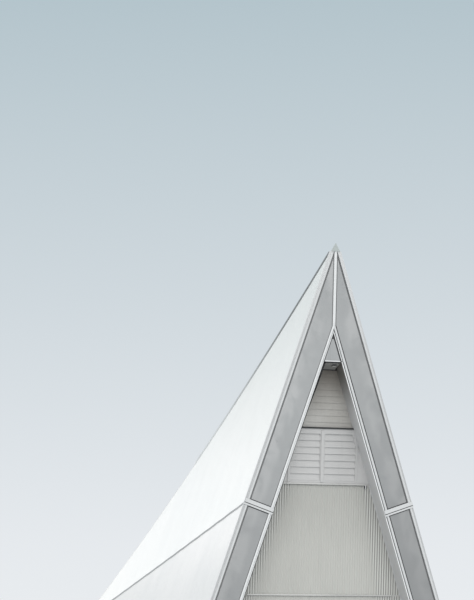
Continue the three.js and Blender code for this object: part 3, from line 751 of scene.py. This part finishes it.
def recess_edge():
    """A narrow lip on the left inner trim, and behind it a near-black strip of painted shadow that widens
    towards the soffit.
    """
    lip_wide, lip_back, lip_front = 0.011, -0.059, -0.037
    shadow_strip_back, shadow_strip_front = -0.085, -0.0615
    top_gap = 0.002
    low, high = gable_floor(0) + ABOVE_FLOOR, APEX - INFILL_DROP - top_gap
    lip = Form()
    leg_strip(lip, -1, (TRIM_INSET + GAP, TRIM_INSET + lip_wide), (low, high), lip_back, lip_front)
    lip.piece("recess_lip_left", "trim", "trim")
    shadow_strip = Form()
    edge = [(low, SHADOW_STRIP_FOOT), *((APEX - drop, wide) for drop, wide in SHADOW_STRIP_EDGE), (high, SHADOW_STRIP_HEAD)]
    outline = [(leg_u(v, LEG_INSET + GAP), v) for v in (low, high)]
    outline += [(leg_u(v, TRIM_INSET + wide), v) for v, wide in reversed(edge)]
    shadow_strip.prism(mirrored(outline, -1), shadow_strip_back, shadow_strip_front)
    shadow_strip.piece("recess_shadow_strip_left", "painted_shade", "dark")


def infill_lines():
    """Joints between the infill panel and the inner trims, and the pale beads in the folds of the trims."""
    foot = APEX - INFILL_DROP
    low = foot + LIP_HIGH + GAP
    line_front = INFILL_FRONT + FOLD_PROUD
    fold_floor = TRIM_PROUD - INNER_STEP
    bead_in, fold_bead_in = 0.02, 0.022
    fold, bead_to = TRIM_INSET - INNER_FOLD, TRIM_INSET - GAP
    tip = leg_v(0, TRIM_INSET)
    for side, sign in SIDES:
        insets = (TRIM_INSET + GAP, TRIM_INSET + INFILL_JOINTS[side])
        form = Form()
        leg_strip(form, sign, insets, (low, leg_v(0, insets[1])), INFILL_FRONT + GAP, line_front)
        leg_strip(form, sign, insets, (foot, low - 2 * GAP), GAP, LINE_PROUD)
        if side == "right":
            notch_foot = tip - NOTCH_HIGH
            half = leg_u(notch_foot, TRIM_INSET) - GAP
            notch = [(0, tip - NOTCH_BELOW_TIP), (-half, notch_foot), (half, notch_foot)]
            form.prism(notch, line_front + NOTCH_GAP, line_front + LINE_PROUD)
        form.piece(f"infill_line_{side}", "dark_joint_and_shadow", "dark")
        bead = Form()
        leg_strip(bead, sign, (fold + bead_in, bead_to), (low, tip), fold_floor + GAP, line_front)
        bead.piece(f"infill_bead_{side}", "trim", "trim")
    # The bead in the right trim's fold takes the paler trim copy: painted light where the fold is in shade
    bead = Form()
    heights = (gable_floor(0) + ABOVE_FLOOR, low - CLEAR)
    leg_strip(bead, 1, (fold + fold_bead_in, bead_to), heights, fold_floor + GAP, fold_floor + FOLD_PROUD)
    bead.piece("fold_bead_right", "bead", "trim")


def soffit_fittings():
    """Near-black strips of painted shadow: the soffit's front edge and the angle where it meets the wall; and
    the lamp's cover.
    """
    edge_back = SOFFIT_FROM - GAP
    edge_front = edge_back - FOLD_PROUD
    edge_gap, edge_below = 0.002, 0.004
    foot = soffit_under(SOFFIT_FROM) - edge_below
    top = soffit_under(SOFFIT_FROM) + SOFFIT_THICK - edge_gap
    form = Form()
    form.beam([(edge_back, top), (edge_front, top), (edge_front, foot), (edge_back, foot)], recess_ends)
    shadow_deep, shadow_thick = 0.055, 0.008
    wall = WALL_BACK - GAP
    start = wall - shadow_deep
    form.beam([(start, soffit_under(start) - CLEAR), (start, soffit_under(start) - shadow_thick),
               (wall, soffit_under(wall) - shadow_thick), (wall, soffit_under(wall) - CLEAR)], recess_ends)
    form.piece("soffit_shadow_strips", "dark_joint_and_shadow", "dark")

    rim, glass_thick, glass_long = 0.012, 0.008, 0.05
    tilt = math.atan(SOFFIT_FALL / (WALL_BACK - SOFFIT_FROM))
    place = Matrix.Translation((LAMP_SIDE, soffit_under(LAMP_BACK), -LAMP_BACK))
    cover = Form(GABLE @ place @ Matrix.Rotation(-tilt, 4, "X"))
    half, long = LAMP_WIDE / 2 - rim, LAMP_LONG / 2 - rim
    under = -LAMP_HIGH - 2 * GAP
    cover.block((-half, under - glass_thick, -long), (half, under - GAP, -long + glass_long))
    cover.piece("lamp_cover", "lamp", "lamp", bevel=0.003)


def rail_closures():
    """The dark closing strip under each rail, and the turned-down ends of the sill."""
    strip_high, strip_back = 0.01, 0.012
    face = -WALL_BACK
    rails = (("sill", SILL_DROP, SILL_PROUD, SILL_SHORT), ("head", HEAD_DROP, HEAD_PROUD, HEAD_SHORT))
    for name, drop, proud, short in rails:
        foot = APEX - drop - GAP
        half = leg_u(foot, LEG_INSET + short)
        form = Form()
        form.block((-half, foot - strip_high, face + CLEAR), (half, foot, face + proud - strip_back))
        form.piece(f"{name}_closure", "gasket", "dark")
    under = APEX - SILL_DROP
    half = leg_u(under, LEG_INSET + SILL_SHORT)
    for name, (look, near, far, proud) in SILL_ENDS.items():
        form = Form()
        for _, sign in SIDES:
            low, high = sorted((sign * (half + near), sign * (half + far)))
            form.block((low, under - SILL_END_HIGH, face + CLEAR), (high, under - 2 * GAP, face + proud))
        form.piece(name, look, "trim")


def trim_rivets():
    """Rivet heads along both trims and the cross bands."""
    leg_end = APEX / math.cos(LEG_ANGLE) - RIVETS_END
    cover_row = CROSS_AT - CROSS_ABOVE + COVER_RIVET_IN
    for side, sign in SIDES:
        form = Form()
        for inset, along in RIVET_ROWS:
            while along < leg_end:
                if not RIVETS_FREE[0] < along < RIVETS_FREE[1]:
                    u, v = leg_point(along, inset)
                    form.rivet(sign * u, v, TRIM_PROUD)
                along += RIVET_SPACING
        inset = COVER_RIVETS_FROM
        while inset < TRIM_INSET:
            u, v = leg_point(cover_row, inset)
            form.rivet(sign * u, v, TRIM_PROUD + COVER_THICK)
            inset += COVER_RIVET_SPACING
        form.piece(f"trim_rivets_{side}", "trim", "trim", smooth=True)


def blades(form, low, high, depth, count, ends, lap=BOARD_LAP):
    """Thin overlapping boards, each with a folded lip at its foot."""
    over_top, lip_slant = 0.002, 0.004
    pitch = (high - low) / count
    for board in range(count):
        foot = low + board * pitch
        top = min(foot + pitch + BOARD_TUCK, high + over_top)
        rear = depth + lap
        profile = [(depth, foot), (depth, foot + BOARD_LIP), (rear, top), (rear + BOARD_THIN, top),
                   (depth + BOARD_THIN, foot + BOARD_LIP + lip_slant), (depth + BOARD_THIN, foot)]
        form.beam(profile, ends)


def upper_boards():
    """The lap boards between the soffit and the hood."""
    form = Form()
    low, high = APEX - HOOD_DROP + GAP, APEX - UPPER_WALL_DROP
    blades(form, low, high, WALL_BACK, UPPER_BOARDS, recess_ends, UPPER_LAP)
    form.piece("lap_boards_upper", "boards", "cladding", ("upper_boards",))


def shutter(side, sign):
    """One shutter leaf: a frame whose outer corner follows the leg, closed by lap boards."""
    back_in, back_gap, back_thick = 0.02, 0.004, 0.016
    front = -WALL_BACK + SHUTTER_PROUD
    foot, top = APEX - SILL_DROP + RAIL_HIGH + GAP, APEX - HOOD_DROP
    near, far = GAP / 2, SHUTTER_HALF - GAP
    stile = MEETING_STILES[side]

    def outline(inner, outer, below, above):
        corner = far - outer
        high = top - above
        return mirrored([(near + inner, foot + below), (corner, foot + below),
                         (corner, leg_v(corner, LEG_INSET + outer)),
                         (leg_u(high, LEG_INSET + outer), high), (near + inner, high)], sign)

    def ends(v):
        outer = min(far - FRAME_WIDE + BOARD_BITE, leg_u(v, LEG_INSET + FRAME_WIDE - BOARD_BITE))
        return sign * (near + stile - BOARD_BITE), sign * outer

    form = Form()
    form.ring(outline(0, 0, 0, 0), outline(stile, FRAME_WIDE, FOOT_RAIL, TOP_RAIL),
              front - SHUTTER_DEEP, front)
    blades(form, foot + FOOT_RAIL, top - TOP_RAIL, -front + BOARD_IN, SHUTTER_BOARDS, ends)
    form.piece(f"shutter_leaf_{side}", "shutter", "shutter", (f"shutter_{side}",), bevel=0.003)

    back = Form()
    rear = front - SHUTTER_DEEP + back_gap
    back.prism(outline(back_in, back_in, back_in, back_in), rear, rear + back_thick)
    back.piece(f"shutter_back_{side}", "dark", "dark")


def shutter_fittings():
    """The proud meeting stile between the leaves, and a small catch on each outer stile."""
    stile_left, stile_right, stile_proud = -0.084, 0.015, 0.022
    stile_foot_in, stile_top_in = 0.03, 0.05
    catch_from, catch_to, catch_proud = 0.022, 0.004, 0.016
    catch_low, catch_high = 0.52, 0.32
    front = -WALL_BACK + SHUTTER_PROUD
    foot = APEX - SILL_DROP + RAIL_HIGH + stile_foot_in
    top = APEX - HOOD_DROP - stile_top_in
    stile = Form()
    stile.block((stile_left, foot, front + GAP), (stile_right, top, front + stile_proud))
    stile.piece("shutter_meeting_stile", "shutter", "shutter", bevel=0.006)
    for side, sign in SIDES:
        form = Form()
        near, far = sorted((sign * (SHUTTER_HALF - catch_from), sign * (SHUTTER_HALF - catch_to)))
        form.block((near, top - catch_low, front + GAP), (far, top - catch_high, front + catch_proud))
        form.piece(f"shutter_catch_{side}", "seam", "dark", bevel=0.004)


def ribbed_sheet(name, place, span, low, top_at, base, contrast_at, shade_at):
    """A closed ribbed sheet: painted shade in the grooves (partly dust) and a painted highlight on the crests
    where the contrast is high, and painted shade from shade_at.
    """
    left, right = span
    steps = len(RIB_WAVE)
    mean = sum(RIB_WAVE) / steps
    count = round((right - left) / RIB_PITCH) * steps
    verts, rib_shading_and_dust, shades = [], [], []
    for column in range(count + 1):
        u = left + (right - left) * column / count
        top = max(top_at(u), low + CLEAR)
        rise = RIB_WAVE[column % steps]
        for front in (True, False):
            for row in range(SHEET_ROWS + 1):
                v = low + (top - low) * (row if front else SHEET_ROWS - row) / SHEET_ROWS
                verts.append((u, v, base + RIB_STAND + rise * RIB_DEEP if front else base + GAP))
                rib_shading_and_dust.append((mean - rise) * contrast_at(u, v))
                shades.append(shade_at(u, v))
    around = 2 * (SHEET_ROWS + 1)
    faces = [list(range(around))[::-1], [around * count + corner for corner in range(around)]]
    for start in range(0, around * count, around):
        for corner in range(around):
            a, b = start + corner, start + (corner + 1) % around
            faces.append([a, b, b + around, a + around])
    form = Form(place)
    form.add(verts, faces)
    sheet = form.piece(name, "wall", "cladding", smooth=True)
    for attribute, values in (("groove", rib_shading_and_dust), ("shade", shades)):
        sheet.data.attributes.new(attribute, "FLOAT", "POINT").data.foreach_set("value", values)


def eased(value):
    """From 0 to 1, with a soft start and a soft end."""
    value = min(max(value, 0.0), 1.0)
    return value * value * (3 - 2 * value)


def lower_walls():
    """Ribbed sheets on the lower wall, with painted rib shade and highlight that are clearer near the legs,
    painted shade and dust near the legs, and painted shadow under the sill at the top.
    """
    def from_leg(u, v):
        return leg_u(v, LEG_INSET) - abs(u)

    def contrast_at(u, v):
        grown = REACH_RIGHT + REACH_GROWTH * (APEX - v - REACH_GROWS_BELOW)
        reach, strength = (grown, RIGHT_CONTRAST) if u > 0 else (REACH_LEFT, 1.0)
        return eased((REACH_FULL - from_leg(u, v) / reach) / REACH_FADE) * strength

    def shade_at(u, v):
        near_leg = eased(1 - from_leg(u, v) / LEG_SHADE_AND_DUST_WIDE)
        return LEG_SHADE_AND_DUST * near_leg + SILL_SHADOW * eased((v - SILL_SHADOW_FROM) / SILL_SHADOW_LONG)

    def front_sheet(name, low, high, span):
        shoulder = leg_u(high, LEG_INSET)

        def top_at(u):
            return min(high, leg_v(abs(u), LEG_INSET) - CLEAR) if abs(u) > shoulder else high

        ribbed_sheet(name, GABLE, span, low, top_at, -WALL_BACK, contrast_at, shade_at)

    def half(v):
        return leg_u(v, LEG_INSET) - CLEAR

    joint = 0.002
    door_head = APEX - HEAD_DROP
    floor = gable_floor(WALL_BACK) + joint
    upper = door_head + RAIL_HIGH
    front_sheet("ribbed_sheet_upper", upper, APEX - SILL_DROP, (-half(upper), half(upper)))
    front_sheet("ribbed_sheet_left", floor, door_head, (-half(floor), -DOOR_HALF))
    front_sheet("ribbed_sheet_right", floor, door_head, (DOOR_HALF, half(floor)))
    front_sheet("ribbed_sheet_over_door", DOOR_TOP + joint, door_head, (-DOOR_HALF, DOOR_HALF))


def reveal_angles():
    """Folded angles that close the ribbed sheet against the legs."""
    flange, thick, stand, upstand = 0.03, 0.003, 0.022, 0.06
    side_gap, foot_gap = 0.0005, 0.003
    near = LEG_INSET + side_gap
    back = stand - WALL_BACK
    runs = ((gable_floor(WALL_BACK) + foot_gap, APEX - HEAD_DROP),
            (APEX - HEAD_DROP + RAIL_HIGH, APEX - SILL_DROP))
    for side, sign in SIDES:
        form = Form()
        for heights in runs:
            leg_strip(form, sign, (near, LEG_INSET + flange), heights, back, back + thick)
            leg_strip(form, sign, (near, near + thick), heights, back, upstand - WALL_BACK)
        form.piece(f"reveal_angle_{side}", "reveal", "cladding")


def door_leaf(side, sign):
    """A framed door leaf with raised panels, a kick plate and a long pull."""
    clear = 0.004
    face = -WALL_BACK - DOOR_BACK + DOOR_THICK
    foot = gable_floor(WALL_BACK) + 2 * clear
    top = DOOR_TOP - DOOR_FRAME_WIDE - clear
    near, far = 0.003, DOOR_HALF - DOOR_FRAME_WIDE - clear

    def inside(inset, low, high):
        return mirrored(rect(near + inset, far - inset, low, high), sign)

    stile, foot_rail, top_rail = 0.09, 0.14, 0.04
    moulding_wide, moulding_high, field_in = 0.05, 0.1, 0.06
    inner = stile + moulding_wide
    sunk, raised = face - 0.014, face - 0.005
    fields = ((foot + 0.24, foot + 0.95), (foot + 1.07, top - 0.14))
    form = Form()
    form.prism(inside(0, foot, top), face - DOOR_THICK, sunk)
    for low, high in fields:
        moulding = inside(stile, low - moulding_high, high + moulding_high)
        form.ring(moulding, inside(inner, low, high), sunk, face)
        form.prism(inside(inner + field_in, low + field_in, high - field_in), sunk, raised)
    form.ring(inside(0, foot, top), inside(stile, foot + foot_rail, top - top_rail), sunk, face)
    form.piece(f"door_leaf_panelled_{side}", "shutter", "shutter", (f"door_leaf_{side}",), bevel=0.003)

    kick_in, kick_low, kick_high, kick_thick = 0.03, 0.02, 0.2, 0.002
    middle, pull_half, pull_low, pull_high = near + 0.11, 0.013, 0.75, 1.55
    pull_back, pull_front = 0.045, 0.07
    arm_half, arm_high, arm_front = 0.01, 0.02, 0.05
    arm_heights = (0.84, 1.44)
    metal = Form()
    metal.prism(inside(kick_in, foot + kick_low, foot + kick_high), face, face + kick_thick)

    def bar(half_wide, low, high, back, front):
        outline = rect(middle - half_wide, middle + half_wide, foot + low, foot + high)
        metal.prism(mirrored(outline, sign), face + back, face + front)

    bar(pull_half, pull_low, pull_high, pull_back, pull_front)
    for height in arm_heights:
        bar(arm_half, height, height + arm_high, 0, arm_front)
    metal.piece(f"door_pull_{side}", "steel", "trim", bevel=0.004)


# Roof and rear

def eaves_drip():
    """A folded drip strip at the foot of each slope, over the joint with the plinth."""
    thick, slope = 0.004, 0.33
    strip_below, strip_above, lip_high, lip_out = 0.035, 0.075, 0.015, 0.016
    front_end, rear_end = FRONT_Y + 0.2, REAR_Y - 0.1
    for side, sign in SIDES:
        points = [vertex.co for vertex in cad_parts[f"plinth_{side}"].data.vertices]
        top = max(p.z for p in points)
        tops = [p for p in points if p.z > top - CLEAR]
        front = max((p for p in tops if p.y < front_end), key=lambda p: abs(p.x))
        rear = max((p for p in tops if p.y > rear_end), key=lambda p: abs(p.x))
        low = top - strip_below
        form = Form(Matrix.Identity(4))
        for high, out in ((top + strip_above, thick), (low + lip_high, lip_out)):
            profile = ((low, out), (low, out + thick), (high, out + thick), (high, out))
            form.bridge(*([(end.x + sign * (reach - (z - top) * slope), end.y, z) for z, reach in profile]
                          for end in (front, rear)))
        form.piece(f"eaves_drip_{side}", "side", "trim")


def rear_sheet():
    """Ribbed sheet and a small vent on the low rear wall."""
    _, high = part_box("rear_wall")
    half, tall = high.x, high.z
    facing_back = Matrix.Rotation(math.pi, 4, "Z") @ Matrix.Rotation(math.pi / 2, 4, "X")
    place = Matrix.Translation((0, high.y, 0)) @ facing_back
    ribbed_sheet("ribbed_sheet_rear", place, (-half, half), FLOOR_HIGH,
                 lambda u: tall * (1 - abs(u) / half), 0, lambda u, v: REAR_CONTRAST, lambda u, v: 0.0)

    def inside(inset):
        return rect(inset - VENT_HALF, VENT_HALF - inset, VENT_FOOT + inset, VENT_TOP - inset)

    back, proud, blade_front, blade_bite = 0.005, 0.045, 0.03, 0.005
    blade_half = VENT_HALF - VENT_FRAME + blade_bite
    vent = Form(place)
    vent.ring(inside(0), inside(VENT_FRAME), back, proud)
    blades(vent, VENT_FOOT + VENT_FRAME, VENT_TOP - VENT_FRAME, -blade_front, VENT_BLADES,
           lambda v: (-blade_half, blade_half))
    vent.piece("rear_vent", "shutter", "shutter", bevel=0.002)


# Stage

def stage():
    """A plain pale floor."""
    bpy.ops.mesh.primitive_plane_add(size=FLOOR_SIZE, location=(0, 0, FLOOR_LEVEL))
    floor = bpy.context.object
    floor.name = "stage_floor"
    shader = Shader("stage_floor", 0.9)
    colour = shader.mix(shader.noise(0.02, 2.0), (0.72, 0.74, 0.75), (0.75, 0.77, 0.78))
    floor.data.materials.append(shader.finish(colour))


def soft_sky():
    """Backdrop that also gives the soft light: pale near the horizon and overhead, grey-blue between."""
    world = bpy.data.worlds.new("studio")
    bpy.context.scene.world = world
    world.use_nodes = True
    tree = world.node_tree
    background = tree.nodes["Background"]
    coords = tree.nodes.new("ShaderNodeTexCoord")
    split = tree.nodes.new("ShaderNodeSeparateXYZ")
    ramp = tree.nodes.new("ShaderNodeValToRGB")
    tree.links.new(coords.outputs["Generated"], split.inputs[0])
    tree.links.new(split.outputs["Z"], ramp.inputs[0])
    tree.links.new(ramp.outputs["Color"], background.inputs["Color"])
    elements = ramp.color_ramp.elements
    for element, (position, colour) in zip(elements, (SKY_STOPS[0], SKY_STOPS[-1])):
        element.position = position
        element.color = (*colour, 1)
    for position, colour in SKY_STOPS[1:-1]:
        elements.new(position).color = (*colour, 1)
    background.inputs["Strength"].default_value = 1.0


def soft_sun(name, strength, angle, azimuth, elevation, colour):
    """A wide, soft light from far away, with its angles in degrees."""
    light = bpy.data.lights.new(name, "SUN")
    light.energy = strength
    light.angle = math.radians(angle)
    light.color = colour
    lamp = bpy.data.objects.new(name, light)
    bpy.context.scene.collection.objects.link(lamp)
    lamp.rotation_euler = (math.radians(90 - elevation), 0, math.radians(azimuth))


def camera():
    """The photograph's view."""
    data = bpy.data.cameras.new("camera")
    data.sensor_fit = "VERTICAL"
    data.sensor_height = SENSOR_HIGH
    data.lens = CAMERA_FOCAL / PHOTO_HIGH * SENSOR_HIGH
    data.clip_end = CAMERA_REACH
    view = bpy.data.objects.new("camera", data)
    bpy.context.scene.collection.objects.link(view)
    view.location = CAMERA_PLACE
    view.rotation_euler = (math.pi / 2 + CAMERA_PITCH, 0, -CAMERA_YAW)
    bpy.context.scene.camera = view


dress_nodes()
panel_joints()
trim_folds()
recess_edge()
infill_lines()
soffit_fittings()
rail_closures()
trim_rivets()
upper_boards()
for side_name, side_sign in SIDES:
    shutter(side_name, side_sign)
    door_leaf(side_name, side_sign)
shutter_fittings()
lower_walls()
reveal_angles()
eaves_drip()
rear_sheet()
stage()
soft_sky()
soft_sun("key", strength=1.1, angle=50, azimuth=-12, elevation=42, colour=(1.0, 0.99, 0.97))
soft_sun("fill", strength=0.5, angle=60, azimuth=-80, elevation=40, colour=(1.0, 1.0, 1.0))
camera()
bpy.context.scene.view_settings.view_transform = "Standard"
